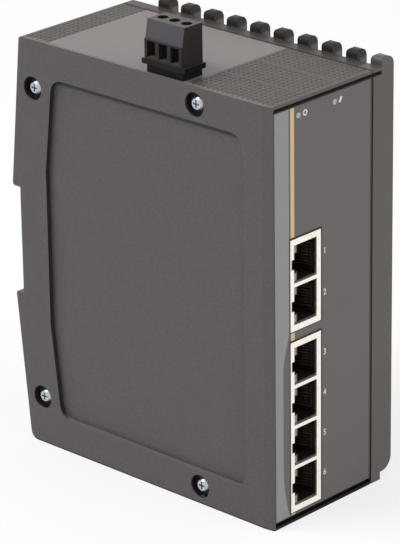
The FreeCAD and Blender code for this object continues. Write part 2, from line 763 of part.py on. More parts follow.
# ---------------------------------------------------------------- jacks
def latch_notch(centre):
    half = LATCH_NOTCH / 2
    return block(JACK_LEFT + LATCH_NOTCH_EDGE, JACK_LEFT + FACE_LEFT, JACK_SETBACK,
                 JACK_SETBACK + SHIELD_FACE, centre - half, centre + half)


def jack_shield(base, ports):
    top = base + group_height(ports)
    back = JACK_SETBACK + JACK_DEPTH
    shell = block(JACK_LEFT, JACK_RIGHT, JACK_SETBACK, back, base, top)
    inside = block(JACK_LEFT + SHIELD, JACK_RIGHT, JACK_SETBACK + SHIELD_FACE, back - SHIELD,
                   base + SHIELD, top - SHIELD)
    tools = [inside]
    half = (PORT_PITCH - FACE_DIVIDER) / 2
    for centre in port_centres(base, ports):
        tools.append(block(JACK_LEFT + FACE_LEFT, JACK_RIGHT - FACE_RIGHT, JACK_SETBACK,
                           JACK_SETBACK + SHIELD_FACE, centre - half, centre + half))
        tools.append(latch_notch(centre))
    return without(shell, *tools)


def guide_boxes(centre, play):
    """The two light windows beside a port's latch space."""
    outer = (PORT_PITCH - FACE_DIVIDER) / 2
    inner = LATCH_SPACE / 2 + SHIELD
    front = JACK_SETBACK + SHIELD_FACE
    left = JACK_LEFT + FACE_LEFT
    boxes = []
    for way in (-1, 1):
        z0, z1 = sorted((centre + way * inner, centre + way * (outer - SHIELD)))
        boxes.append(block(left - play, LATCH_LEVEL - SHIELD + play, front, front + GUIDE_DEPTH + play,
                           z0 - play, z1 + play))
    return boxes


def contact_places(centre):
    first = centre - (CONTACT_COUNT - 1) / 2 * CONTACT_PITCH
    return [first + i * CONTACT_PITCH for i in range(CONTACT_COUNT)]


def contact(z):
    """One bent contact: sprung arm, run along the floor and tail to the board."""
    floor = JACK_RIGHT - FACE_RIGHT
    thick = CONTACT_THICKNESS
    half = CONTACT_WIDTH / 2
    arm = prism_z(sharp([
        (floor - CONTACT_RISE, CONTACT_BACK - thick),
        (floor - CONTACT_RISE, CONTACT_BACK + thick),
        (floor, CONTACT_FRONT + 2 * thick),
        (floor, CONTACT_FRONT),
    ]), z - half, z + half)
    run = block(floor - thick, floor, CONTACT_FRONT, CONTACT_BACK + thick, z - half, z + half)
    tail = block(floor - thick, JACK_RIGHT, CONTACT_BACK, CONTACT_BACK + thick, z - half, z + half)
    return joined(arm, run, tail)


def jack_insert(base, ports):
    top = base + group_height(ports)
    front = JACK_SETBACK + SHIELD_FACE
    back = JACK_SETBACK + JACK_DEPTH - SHIELD
    body = block(JACK_LEFT + SHIELD, JACK_RIGHT, front, back, base + SHIELD, top - SHIELD)
    floor = JACK_RIGHT - FACE_RIGHT
    end = JACK_SETBACK + PLUG_SPACE_DEPTH
    tools = []
    for centre in port_centres(base, ports):
        half = PLUG_SPACE / 2
        tools.append(block(LATCH_LEVEL, floor, front, end, centre - half, centre + half))
        half = LATCH_SPACE / 2
        tools.append(block(JACK_LEFT + FACE_LEFT, LATCH_LEVEL, front, end, centre - half, centre + half))
        tools.extend(guide_boxes(centre, GUIDE_PLAY))
        half = CONTACT_WIDTH / 2 + GUIDE_PLAY
        for z in contact_places(centre):
            tools.append(block(floor, JACK_RIGHT, CONTACT_BACK - GUIDE_PLAY,
                               CONTACT_BACK + CONTACT_THICKNESS + GUIDE_PLAY, z - half, z + half))
    return without(body, *tools)


def jack_contacts(base, ports):
    return [contact(z) for centre in port_centres(base, ports) for z in contact_places(centre)]


def port_light_guides():
    return [box for centre in all_port_centres() for box in guide_boxes(centre, 0)]


# ---------------------------------------------------------------- supply connector
def header_pin_box(y, z0, z1, play):
    half = PIN / 2 + play
    return block(PIN_LINE - half, PIN_LINE + half, y - half, y + half, z0, z1)


def terminal_header():
    right = HEADER_LEFT + HEADER_WIDTH
    half = HEADER_LENGTH / 2
    body = block(HEADER_LEFT, right, PLUG_MIDDLE - half, PLUG_MIDDLE + half, HEADER_BASE, HEADER_TOP)
    cavity = block(HEADER_LEFT + HEADER_WALL, right - HEADER_WALL, PLUG_MIDDLE - half + HEADER_WALL,
                   PLUG_MIDDLE + half - HEADER_WALL, HEADER_BASE + HEADER_FLOOR, HEADER_TOP)
    holes = [header_pin_box(y, HEADER_BASE, HEADER_TOP, 0) for y in POLE_PLACES]
    return without(body, cavity, *holes)


def header_pins():
    return [header_pin_box(y, HEADER_BASE - BOARD - PIN_TAIL, HEADER_TOP - PIN_TOP, 0)
            for y in POLE_PLACES]


def power_board():
    width, depth = POWER_BOARD
    left = COVER_THICKNESS + FIT
    board = block(left, left + width, PLUG_MIDDLE - depth / 2, PLUG_MIDDLE + depth / 2,
                  HEADER_BASE - BOARD, HEADER_BASE)
    tools = [header_pin_box(y, HEADER_BASE - BOARD, HEADER_BASE, 0) for y in POLE_PLACES]
    for x, y in post_places():
        tools.append(rod_z(x, y, (SCREW_THREAD + SCREW_PLAY) / 2, HEADER_BASE - BOARD, HEADER_BASE))
    return without(board, *tools)


def power_board_screws():
    screws = []
    for x, y in post_places():
        seat = HEADER_BASE - BOARD
        head = rod_z(x, y, SCREW_HEAD / 2, seat - SCREW_HEAD_HEIGHT, seat)
        shank = rod_z(x, y, SCREW_THREAD / 2, seat, seat + BOARD + POST)
        screws.append(joined(head, shank))
    return screws


def board_link():
    """Pin strip that joins the small board to the main board."""
    depth = POWER_BOARD[1]
    right = COVER_THICKNESS + FIT + POWER_BOARD[0]
    base = HEADER_BASE - BOARD
    strip = block(right - POLE_PITCH / 2, BOARD_LEFT, PLUG_MIDDLE - POLE_PITCH,
                  PLUG_MIDDLE + depth / 4, base - POLE_PITCH / 2, base)
    return strip


def plug_body():
    left = PLUG_LEFT
    right = PLUG_LEFT + PLUG_WIDTH
    front = PLUG_MIDDLE - PLUG_LENGTH / 2
    back = PLUG_MIDDLE + PLUG_LENGTH / 2
    top = HEIGHT + PLUG_TOP
    flange_base = HEADER_TOP + LATCH_PLAY
    flange_top = flange_base + PLUG_FLANGE
    upper = prism_y(sharp([
        (left, flange_top), (right, flange_top), (right, top),
        (left + PLUG_STEP + PLUG_SLOPE, top), (left + PLUG_STEP, top - PLUG_SLOPE_HEIGHT),
        (left, top - PLUG_SLOPE_HEIGHT),
    ]), front, back)
    flange = block(left, right, front - PLUG_EAR, back + PLUG_EAR, flange_base, flange_top)
    wall = HEADER_WALL + PIN_PLAY
    insert = block(HEADER_LEFT + wall, HEADER_LEFT + HEADER_WIDTH - wall,
                   PLUG_MIDDLE - HEADER_LENGTH / 2 + wall, PLUG_MIDDLE + HEADER_LENGTH / 2 - wall,
                   HEADER_BASE + HEADER_FLOOR + PIN_PLAY, flange_base)
    body = joined(upper, flange, insert)
    tools = []
    for y in POLE_PLACES:
        tools.append(wire_space(y, 0))
        tools.append(rod_z(screw_line(), y, SCREW_HOLE / 2, cage_top(), top))
        tools.append(header_pin_box(y, HEADER_BASE, HEADER_TOP - PIN_TOP + PIN_PLAY, PIN_PLAY))
    return without(body, *tools)


def screw_line():
    return PLUG_LEFT + (PLUG_WIDTH + PLUG_STEP + PLUG_SLOPE) / 2


def cage_base():
    return HEADER_TOP + LATCH_PLAY + PLUG_FLANGE + WIRE_SLOT_SILL


def cage_top():
    return cage_base() + WIRE_SLOT_HEIGHT


def wire_space(y, inset):
    half = WIRE_SLOT / 2 - inset
    return block(PLUG_LEFT, PLUG_LEFT + WIRE_SLOT_DEPTH, y - half, y + half,
                 cage_base() + inset, cage_top() - inset)


def plug_cages():
    middle = screw_line()
    cages = []
    for y in POLE_PLACES:
        window = block(middle - CAGE_LENGTH / 2, middle + CAGE_LENGTH / 2, y - POLE_PITCH,
                       y + POLE_PITCH, cage_base(), cage_top())
        cages.append(wire_space(y, 0).cut(wire_space(y, CAGE_WALL)).common(window))
    return cages


def plug_screws():
    x = screw_line()
    head_top = HEIGHT + PLUG_TOP - SCREW_HOLE_SINK
    radius = SCREW_HOLE / 2 - PIN_PLAY
    screws = []
    for y in POLE_PLACES:
        screw = rod_z(x, y, radius, cage_top(), head_top)
        slot = block(x - radius, x + radius, y - CROSS_WIDTH / 2, y + CROSS_WIDTH / 2,
                     head_top - CROSS_DEPTH, head_top)
        screws.append(without(screw, slot))
    return screws


# ---------------------------------------------------------------- rail latch
def rail_latch():
    floor = REAR_DEPTH - LATCH_FLOOR + LATCH_PLAY
    half = LATCH_WIDTH / 2
    flange_back = floor + LATCH_FLANGE_THICKNESS
    body_back = flange_back + LATCH_BODY
    shelf = RAIL_BASE - LATCH_PLAY
    nose_front = NOTCH_FLOOR + FIT
    lip_front = NOTCH_FLOOR + RAIL_EDGE + LATCH_PLAY
    back = REAR_DEPTH - HOOK_BACK
    tip = RAIL_BASE + HOOK_OVERLAP
    flange_top = NOTCH_BASE - WALL - FIT
    tab_base = LATCH_BASE + TAB_RISE
    tab_back = tab_reach(tab_base + TAB[1] / 2)
    left = BODY_MIDDLE - half
    right = BODY_MIDDLE + half
    flange = block(left - LATCH_FLANGE, right + LATCH_FLANGE, floor, flange_back, LATCH_BASE, flange_top)
    nose = prism_x(sharp([
        (floor, LATCH_BASE),
        (body_back, LATCH_BASE),
        (body_back, flange_top - LATCH_FLANGE_THICKNESS * 2),
        (back, flange_top),
        (back, tip - HOOK_OVERLAP),
        (back - HOOK_OVERLAP / 2, tip),
        (lip_front, tip),
        (lip_front, shelf),
        (nose_front, shelf),
        (nose_front, NOTCH_BASE - FIT),
        (floor, NOTCH_BASE - FIT),
    ]), left, right)
    tab = block(BODY_MIDDLE - TAB[0] / 2, BODY_MIDDLE + TAB[0] / 2, flange_back, tab_back,
                tab_base, tab_base + TAB[1])
    latch = joined(nose, flange, tab)
    slot_half = TAB_SLOT[0] / 2
    tab_middle = tab_base + TAB[1] / 2
    slot = block(BODY_MIDDLE - slot_half, BODY_MIDDLE + slot_half, body_back, tab_back,
                 tab_middle - TAB_SLOT[1] / 2, tab_middle + TAB_SLOT[1] / 2)
    sill = LATCH_BASE + LATCH_WINDOW_SILL
    window_half = LATCH_WINDOW_WIDTH / 2
    window = block(BODY_MIDDLE - window_half, BODY_MIDDLE + window_half, floor, body_back, sill,
                   sill + LATCH_WINDOW_HEIGHT)
    return without(latch, slot, window)


def tab_reach(z):
    """How far back the tab's end stands: just proud of the sloping rear wall."""
    slope = (REAR_DEPTH - EDGE_DEPTH) / NOTCH_BASE
    return EDGE_DEPTH + slope * z + TAB_PROUD


def latch_spring():
    sill = LATCH_BASE + LATCH_WINDOW_SILL
    base = sill + FIT * 2 + STOP
    top = sill + LATCH_WINDOW_HEIGHT
    radius = (SPRING_DIAMETER - SPRING_WIRE) / 2
    rise = top - base - SPRING_WIRE - 2 * LATCH_PLAY
    path = Part.makeHelix(rise / SPRING_TURNS, rise, radius)
    corners = [Vector(u, 0, v) for u, v in polygon(radius, 0, SPRING_SIDES, SPRING_WIRE / 2)]
    section = Part.makePolygon(corners + corners[:1])
    coil = Part.Wire(path).makePipeShell([section], True, True)
    middle_depth = REAR_DEPTH - LATCH_FLOOR + LATCH_PLAY + SPRING_DIAMETER / 2
    coil.translate(Vector(BODY_MIDDLE, middle_depth, base + SPRING_WIRE / 2 + LATCH_PLAY))
    return coil


# ---------------------------------------------------------------- build
os.makedirs("parts", exist_ok=True)

save("side_cover", side_cover())
save("heat_sink", heat_sink())
save("top_cover", top_cover())
save("base_cover", base_cover())
save("rear_wall", rear_wall())
save("front_panel", front_panel())
save("front_label", front_label())
save("cover_screws", *cover_screws())
save("cover_spacers", *cover_spacers())
save("board_spacers", *board_spacers())
save("board_screws", *board_screws())
save("main_board", main_board())
save("port_transformers", *port_transformers())
save("switch_chip", chip(SWITCH_CHIP_AT, SWITCH_CHIP[0], SWITCH_CHIP[1], BOARD_LEFT, -1))
save("feed_chip", chip(FEED_CHIP_AT, FEED_CHIP[0], FEED_CHIP[1], BOARD_RIGHT, 1))
save("thermal_pad", thermal_pad())
save("power_transformer", power_transformer())
save("storage_capacitors", *storage_capacitors())
save("status_light_guides", *status_light_guides())
for group, group_base, group_ports in PORT_GROUPS:
    save(group + "_jack_shield", jack_shield(group_base, group_ports))
    save(group + "_jack_insert", jack_insert(group_base, group_ports))
    save(group + "_jack_contacts", *jack_contacts(group_base, group_ports))
save("port_light_guides", *port_light_guides())
save("terminal_header", terminal_header())
save("header_pins", *header_pins())
save("power_board", power_board())
save("power_board_screws", *power_board_screws())
save("board_link", board_link())
save("plug_body", plug_body())
save("plug_cages", *plug_cages())
save("plug_screws", *plug_screws())
save("rail_latch", rail_latch())
save("latch_spring", latch_spring())
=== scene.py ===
import math

import bmesh
import bpy
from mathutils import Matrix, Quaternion, Vector


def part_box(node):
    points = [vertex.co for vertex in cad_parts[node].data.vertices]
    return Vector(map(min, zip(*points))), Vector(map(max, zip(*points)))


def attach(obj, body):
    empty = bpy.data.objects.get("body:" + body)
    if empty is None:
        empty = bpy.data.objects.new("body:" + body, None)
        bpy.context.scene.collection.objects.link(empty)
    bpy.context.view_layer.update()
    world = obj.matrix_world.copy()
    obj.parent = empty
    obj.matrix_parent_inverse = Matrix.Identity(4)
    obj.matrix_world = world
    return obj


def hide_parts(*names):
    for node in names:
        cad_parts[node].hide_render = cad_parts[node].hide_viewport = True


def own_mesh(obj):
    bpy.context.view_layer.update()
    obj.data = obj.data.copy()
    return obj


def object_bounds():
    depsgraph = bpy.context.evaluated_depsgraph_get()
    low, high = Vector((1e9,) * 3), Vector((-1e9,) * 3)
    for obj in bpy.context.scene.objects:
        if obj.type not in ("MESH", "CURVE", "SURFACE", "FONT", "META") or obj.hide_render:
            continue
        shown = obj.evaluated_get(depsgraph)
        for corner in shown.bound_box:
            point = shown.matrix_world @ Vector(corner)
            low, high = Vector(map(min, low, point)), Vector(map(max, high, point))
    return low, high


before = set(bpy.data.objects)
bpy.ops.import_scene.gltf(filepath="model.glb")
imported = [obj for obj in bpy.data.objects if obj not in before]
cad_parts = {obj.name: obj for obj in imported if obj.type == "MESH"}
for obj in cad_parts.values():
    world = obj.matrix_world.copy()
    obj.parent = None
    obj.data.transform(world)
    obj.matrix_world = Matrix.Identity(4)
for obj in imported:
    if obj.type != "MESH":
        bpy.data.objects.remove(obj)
cad_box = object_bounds()

# A six-port DIN-rail switch.  Sizes are millimetres from the front, left, base
# corner of the housing: x to the right, y to the rear, z up.
MM = 0.001
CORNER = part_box("side_cover")[0]
HEIGHT = (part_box("side_cover")[1].z - CORNER.z) / MM
LABEL_FACE = (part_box("front_label")[0].y - CORNER.y) / MM
LABEL_SPAN = tuple((edge.x - CORNER.x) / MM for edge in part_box("front_label"))
LABEL_HEIGHTS = tuple((edge.z - CORNER.z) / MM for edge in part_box("front_label"))
WHITE = (1, 1, 1, 1)

# ---------------------------------------------------------------- sizes
PRINT = 0.03                        # thickness of a printed field
BAND_LEFT = 1.75
BAND_WIDE = 8.2
BAND_NARROW = 5.3
BAND_BEND = (53.0, 68.0)            # the band narrows between these heights
BAND_FOOT = (2.6, 20.0)             # and widens again towards the base
BAND_TOP = 139.4
BAND_STEPS = 24                     # straight pieces in each curve of its edge
GOLD_MIDDLE = 9.85
GOLD_WIDTH = 1.75
GOLD_SPANS = ((2.5, 3.0), (62.6, 65.2), (96.9, 139.5))
NUMBER_HEIGHT = 2.0
NUMERAL_SHARE = 0.7                 # height of a numeral in the font's size
NUMBER_LEFT = 24.3
NUMBER_RISE = 0.6
NUMBER_BOLD = 0.05
JOINT_EDGES = (0.6, 0.3)            # width of the painted shadows along the label's edges: side, top
TOP_JOINT = (46.75, 47.2, 0.0, 107.8)   # left, right, front and rear of the painted shadow line
OPENING_GAP = 0.35                  # between a group of jacks and its opening
OPENING_EDGE = 0.35                 # width of the painted shadow along the opening's edge
PORT_PITCH = 13.97
PORT_GROUPS = ((65.7, 2), (3.4, 4))     # base, number of ports
JACK_END = 1.4
MARK_HEIGHT = 136.5
MARK_RING = (15.9, 1.05, 0.5)       # x, radius, stroke
MARK_RING_STEPS = 28
MARK_DASH = (32.4, 2.0, 0.95, 30.0)     # x, length, width, lean in degrees

GRILLE_PITCH = 2.08                 # from slot to slot, and from bar to bar
GRILLE_SLOT = 1.25
GRILLE_FRONT = 1.6                  # where the slots start in front
GRILLE_FRONT_SLOTS = 16
GRILLE_REAR = 97.2                  # and at the rear
GRILLE_REAR_SLOTS = 5
GRILLE_BAR = 1.82                   # width of a bar
GRILLE_BAR_DEPTH = 1.0
GRILLE_BAR_DROP = 0.05              # below the face
GRILLE_BAR_EDGE = 0.1               # chamfer along a bar
GRILLE_SIDES = (1.8, 46.5)
RIB_END = (1.15, 1.75, 0.12)        # left, right, rise

# ---------------------------------------------------------------- where a finish changes, and where light and shade are painted
SATIN_ZONE = (35.4, 97.0)           # smooth part of the top, painted paler as painted reflection
FRONT_FIN = 6.0                     # depth taken by the front fin
PLUG_FLANGE_TOP = 4.35              # above the top cover; the plug carries painted shade below it
BORE_SHADE = 0.5                    # painted shade darkens the screw bores below this depth
BORE_RADIUS = 4.1
COVER_FOOT = 0.5                    # painted shade along the lower edge of the side cover
BASE_LIP = 1.1                      # painted shade along the lower edge of the base cover
RECESS_FLOOR = 1.4                  # just above the floor of the side cover's recess
RECESS_TOP = 13.4                   # the shade under its upper edge ends this far down
RECESS_END = 60.0                   # its end wall, which carries painted shade, is behind this

# ---------------------------------------------------------------- how a finish wavers
TINT_STOPS = (0.3, 0.7)             # noise below and above which a tint stays the same
GRAIN_STOPS = (0.35, 0.65)          # and a grain
MOULDED_CLOUD = 18.0                # size of a moulding's clouds of colour
MOULDED_WEAR = (6.0, 0.05)          # size and spread of its roughness
METAL_CLOUD = 4                     # size of a metal's clouds, in grains
METAL_TINT = 0.05
METAL_WEAR = (1.5, 0.06, 0.08)      # size, and spread to the smooth and the rough side
METAL_EDGE = 0.1
TRACK_SCALE = 120.0                 # of the copper tracks on the boards
CLEAR_PLASTIC_IOR = 1.49
BEVEL_SAMPLES = 4
WELD = 1e-6                         # metres between corners that are joined

PLAIN_SPECULAR = 0.5                # specular levels
BLACK_SPECULAR = 0.12
PLUG_SPECULAR = 0.15
FIN_END_SPECULAR = 0.15
BASE_LIP_SPECULAR = 0.1


# ---------------------------------------------------------------- places and meshes
def place(x, y, z):
    """A point of the housing, in the frame's metres."""
    return CORNER + Vector((x, y, z)) * MM


def rectangle(left, right, base, top):
    return [(left, base), (right, base), (right, top), (left, top)]


def add_piece(name, mesh, material):
    mesh.materials.append(material)
    piece = bpy.data.objects.new(name, mesh)
    bpy.context.scene.collection.objects.link(piece)
    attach(piece, "housing")
    return piece


def finish_mesh(name, shape):
    bmesh.ops.recalc_face_normals(shape, faces=shape.faces)
    mesh = bpy.data.meshes.new(name)
    shape.to_mesh(mesh)
    shape.free()
    return mesh


def add_prism(shape, ring, depth):
    """A closed prism from a ring of points, drawn out by the depth vector."""
    near = [shape.verts.new(point) for point in ring]
    far = [shape.verts.new(point + depth) for point in ring]
    shape.faces.new(near)
    shape.faces.new(list(reversed(far)))
    count = len(ring)
    for index in range(count):
        after = (index + 1) % count
        shape.faces.new((near[after], near[index], far[index], far[after]))


# ---------------------------------------------------------------- shaders
def srgb(red, green, blue):
    """A colour as it looks on screen, in the linear values that a shader takes."""
    def channel(value):
        value = value / 255
        return value / 12.92 if value <= 0.04045 else ((value + 0.055) / 1.055) ** 2.4
    return (channel(red), channel(green), channel(blue), 1.0)


def shaded(colour, factor):
    return tuple(min(channel * factor, 1.0) for channel in colour[:3]) + (1.0,)


def grey(level):
    return (level, level, level, 1)


def empty_tree(owner):
    """The node tree of a material or a world, with nothing in it."""
    owner.use_nodes = True
    owner.node_tree.nodes.clear()
    return owner.node_tree


class Shader:
    """A node material around one Principled shader."""

    def __init__(self, name, roughness, metallic=0.0):
        self.material = bpy.data.materials.new(name)
        self.tree = empty_tree(self.material)
        output = self.add("ShaderNodeOutputMaterial")
        self.surface = self.add("ShaderNodeBsdfPrincipled")
        self.give("Roughness", roughness)
        self.give("Metallic", metallic)
        self.link(self.surface.outputs["BSDF"], output.inputs["Surface"])
        self.place = self.add("ShaderNodeTexCoord").outputs["Object"]

    def add(self, kind):
        return self.tree.nodes.new(kind)

    def link(self, source, target):
        self.tree.links.new(source, target)

    def feed(self, source, target):
        """Gives an input a plain value, or joins it to another node's output."""
        if isinstance(source, (int, float, tuple)):
            target.default_value = source
        else:
            self.link(source, target)

    def give(self, name, source):
        """Feeds one of the surface's own inputs."""
        self.feed(source, self.surface.inputs[name])

    def paint(self, colour, layers=()):
        """The finished material: a colour, under layers that are each a mask and a colour."""
        for mask, layer in layers:
            colour = self.blend(mask, colour, layer)
        self.give("Base Color", colour)
        return self.material

    def noise(self, size, detail=2.0, stretch=None):
        """Noise whose lumps are about size millimetres across."""
        node = self.add("ShaderNodeTexNoise")
        node.inputs["Scale"].default_value = 1 / (size * MM)
        node.inputs["Detail"].default_value = detail
        source = self.place
        if stretch:
            mapping = self.add("ShaderNodeMapping")
            mapping.inputs["Scale"].default_value = stretch
            self.link(self.place, mapping.inputs["Vector"])
            source = mapping.outputs["Vector"]
        self.link(source, node.inputs["Vector"])
        return node.outputs["Fac"]

    def ramp(self, value, positions, colours):
        """From one colour to another between two positions of the value."""
        node = self.add("ShaderNodeValToRGB")
        for element, position, colour in zip(node.color_ramp.elements, positions, colours):
            element.position = position
            element.color = colour
        self.link(value, node.inputs["Fac"])
        return node.outputs["Color"]

    def tint(self, colour, size, spread, detail=2.0, stretch=None):
        """A colour that wavers round its value."""
        pale = shaded(colour, 1 + spread)
        deep = shaded(colour, 1 - spread)
        return self.ramp(self.noise(size, detail, stretch), TINT_STOPS, (deep, pale))

    def speckle(self, below, size, spread):
        """Fine light and dark grains over the colour so far."""
        colours = (grey(1 - spread), grey(1 + spread))
        grains = self.ramp(self.noise(size, detail=1.0), GRAIN_STOPS, colours)
        return self.blend(1.0, below, grains, "MULTIPLY")

    def blend(self, factor, below, above, kind="MIX"):
        mix = self.add("ShaderNodeMix")
        mix.data_type = "RGBA"
        mix.blend_type = kind
        self.feed(factor, mix.inputs["Factor"])
        self.feed(below, mix.inputs["A"])
        self.feed(above, mix.inputs["B"])
        return mix.outputs["Result"]

    def calculate(self, operation, one, other):
        node = self.add("ShaderNodeMath")
        node.operation = operation
        self.feed(one, node.inputs[0])
        self.feed(other, node.inputs[1])
        return node.outputs["Value"]

    def both(self, one, other):
        return self.calculate("MULTIPLY", one, other)

    def inverse(self, value):
        return self.calculate("SUBTRACT", 1.0, value)

    def step(self, source, axis, low, high):
        """0 where the vector's axis is below low, 1 where it is above high."""
        split = self.add("ShaderNodeSeparateXYZ")
        self.link(source, split.inputs["Vector"])
        node = self.add("ShaderNodeMapRange")
        node.inputs["From Min"].default_value = low
        node.inputs["From Max"].default_value = high
        self.link(split.outputs[axis], node.inputs["Value"])
        return node.outputs["Result"]

    def beyond(self, axis, edge, fade=0.3):
        """0 before and 1 beyond an edge of the housing, in its millimetres."""
        start = CORNER["XYZ".index(axis)]
        return self.step(self.place, axis, start + (edge - fade) * MM, start + (edge + fade) * MM)

    def near(self, places, radius):
        """1 within a radius of one of the lines that run along X through the places."""
        flat = self.add("ShaderNodeVectorMath")
        flat.operation = "MULTIPLY"
        flat.inputs[1].default_value = (0, 1, 1)
        self.link(self.place, flat.inputs[0])
        distances = []
        for line in places:
            away = self.add("ShaderNodeVectorMath")
            away.operation = "DISTANCE"
            away.inputs[1].default_value = line
            self.link(flat.outputs["Vector"], away.inputs[0])
            distances.append(away.outputs["Value"])
        nearest = distances[0]
        for distance in distances[1:]:
            nearest = self.calculate("MINIMUM", nearest, distance)
        return self.calculate("LESS_THAN", nearest, radius * MM)

    def between(self, value, start, end):
        """A number that goes from start to end as value goes from 0 to 1."""
        node = self.add("ShaderNodeMapRange")
        node.inputs["To Min"].default_value = start
        node.inputs["To Max"].default_value = end
        self.link(value, node.inputs["Value"])
        return node.outputs["Result"]

    def relief(self, size, height, stretch=None, edge=0.0):
        """Bump of the given height in millimetres, over edges softened by a radius."""
        bump = self.add("ShaderNodeBump")
        bump.inputs["Distance"].default_value = height * MM
        bump.inputs["Strength"].default_value = 1.0
        self.link(self.noise(size, stretch=stretch), bump.inputs["Height"])
        if edge:
            bevel = self.add("ShaderNodeBevel")
            bevel.samples = BEVEL_SAMPLES
            bevel.inputs["Radius"].default_value = edge * MM
            self.link(bevel.outputs["Normal"], bump.inputs["Normal"])
        self.give("Normal", bump.outputs["Normal"])

    def wear(self, size, low, high):
        """Roughness that wavers between two values."""
        self.give("Roughness", self.between(self.noise(size, detail=3.0), low, high))

    def dull(self, mask, level):
        """Lowers the specular level where the mask is 1."""
        self.give("Specular IOR Level", self.between(mask, PLAIN_SPECULAR, level))


# ---------------------------------------------------------------- finishes
def moulded_shader(name, colour, roughness, grain, relief, edge, spread=0.04, fleck=0.05):
    """Shader of a fine-textured moulding, and the colour it has so far."""
    shader = Shader(name, roughness)
    texture = shader.speckle(shader.tint(colour, MOULDED_CLOUD, spread), grain, fleck)
    shader.relief(grain, relief, edge=edge)
    size, change = MOULDED_WEAR
    shader.wear(size, roughness - change, roughness + change)
    return shader, texture


def moulded(*settings):
    shader, texture = moulded_shader(*settings)
    return shader.paint(texture)


def dull_black():
    # Black moulding of the header and board link: their own black, made darker than the plug's as
    # painted shade where the header sits in shadow under the plug.
    shader, texture = moulded_shader("black_moulding", srgb(22, 20, 20), 0.60, 0.30, 0.008, 0.15)
    shader.give("Specular IOR Level", BLACK_SPECULAR)
    return shader.paint(texture)


def screw_places():
    """Middle of each cover screw, seen along X."""
    points = [vertex.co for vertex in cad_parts["cover_screws"].data.vertices]
    low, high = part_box("cover_screws")
    middle = (low + high) / 2
    places = []
    for rear in (False, True):
        for upper in (False, True):
            own = [p for p in points if (p.y > middle.y) == rear and (p.z > middle.z) == upper]
            depths = [p.y for p in own]
            heights = [p.z for p in own]
            places.append((0, (min(depths) + max(depths)) / 2, (min(heights) + max(heights)) / 2))
    return places


def cover_finish():
    """Spark-eroded texture, with painted light where it faces upwards, and painted shade at the
    foot, in the recess and in the screw bores.
    """
    shader, texture = moulded_shader("textured_cover", srgb(85, 79, 80), 0.55, 0.42, 0.035, 0.2,
                                     spread=0.03, fleck=0.12)
    normal = shader.add("ShaderNodeNewGeometry").outputs["Normal"]
    # Painted light: faces that look upwards are made paler for the light they mirror from above.
    painted_top_light = shader.step(normal, "Z", low=0.2, high=0.8)
    # Painted shade: the lowest half millimetre of the cover is darkened for the shadow along its
    # foot.
    foot = shader.inverse(shader.beyond("Z", COVER_FOOT, fade=0.15))
    # Painted shade: the recess's rear wall, which faces forwards, is darkened for the shade it
    # stands in.
    forward = shader.inverse(shader.step(normal, "Y", low=-0.8, high=-0.3))
    painted_wall_shade = shader.both(forward, shader.beyond("Y", RECESS_END))
    # Painted shadow: a dark strip on the recess floor under its upper edge, where that edge casts
    # its shadow.
    painted_edge_shadow = shader.both(shader.beyond("X", RECESS_FLOOR, fade=0.1),
                             shader.beyond("Z", HEIGHT - RECESS_TOP, fade=0.25))
    # Painted shade: the screw bores are darkened inside for the shade that fills them.
    bores = shader.both(shader.beyond("X", BORE_SHADE), shader.near(screw_places(), BORE_RADIUS))
    return shader.paint(texture, (
        (painted_top_light, srgb(118, 111, 110)),
        (foot, srgb(34, 31, 30)),
        (painted_wall_shade, srgb(40, 37, 37)),
        (painted_edge_shadow, srgb(28, 23, 22)),
        (bores, srgb(24, 21, 20)),
    ))


def base_finish():
    """The texture of the walls, with painted shade on the lip under the front plate."""
    shader, texture = moulded_shader("base_of_housing", srgb(92, 88, 87), 0.50, 0.40, 0.020, 0.25)
    # Painted shade: the lip is darkened, with less specular, for the shadow under the front
    # plate.
    lip = shader.inverse(shader.beyond("Z", BASE_LIP, fade=0.1))
    shader.dull(lip, BASE_LIP_SPECULAR)
    return shader.paint(texture, ((lip, srgb(26, 23, 22)),))


def top_finish():
    """Textured round the grilles; the smooth part between them is painted paler, a painted
    reflection of the light above.
    """
    shader, texture = moulded_shader("top_of_housing", srgb(82, 77, 73), 0.50, 0.40, 0.020, 0.25)
    front, rear = SATIN_ZONE
    # Painted reflection: the smooth part takes a paler colour for the light it mirrors from
    # above.
    painted_sheen = shader.both(shader.beyond("Y", front), shader.inverse(shader.beyond("Y", rear)))
    return shader.paint(texture, ((painted_sheen, srgb(132, 124, 123)),))


def sink_finish():
    """Coated fins; their ends that stand above the plate behind the front fin carry painted
    shade.
    """
    shader, coat = moulded_shader("heat_sink_coating", srgb(85, 80, 76), 0.42, 0.30, 0.012, 0.3)
    # Painted shade: these fin ends are darkened, with less specular, for the shade the fins cast
    # on each other.
    ends = shader.both(shader.beyond("Z", HEIGHT, fade=0.6), shader.beyond("Y", FRONT_FIN))
    shader.dull(ends, FIN_END_SPECULAR)
    return shader.paint(coat, ((ends, srgb(48, 44, 41)),))


def plug_finish():
    """Dark moulding, with painted reflection where it leans or faces upwards, and painted shade,
    near-black, up to the top of its flange.
    """
    shader, dark = moulded_shader("plug_moulding", srgb(45, 40, 38), 0.45, 0.30, 0.008, 0.15)
    shader.give("Specular IOR Level", PLUG_SPECULAR)
    normal = shader.add("ShaderNodeNewGeometry").outputs["Normal"]
    # Painted reflection: faces that lean or look upwards are made paler for the light they mirror
    # from above.
    leaning = shader.step(normal, "Z", low=0.04, high=0.16)
    flat = shader.step(normal, "Z", low=0.3, high=0.8)
    upper = shader.blend(leaning, dark, srgb(85, 83, 88))
    upper = shader.blend(flat, upper, srgb(96, 91, 87))
    # Painted shade: below the top of its flange the body is near-black for the shadow gap under
    # it.
    clear_of_painted_shade = shader.beyond("Z", HEIGHT + PLUG_FLANGE_TOP, fade=0.1)
    return shader.paint(shader.blend(clear_of_painted_shade, srgb(14, 12, 12), upper))


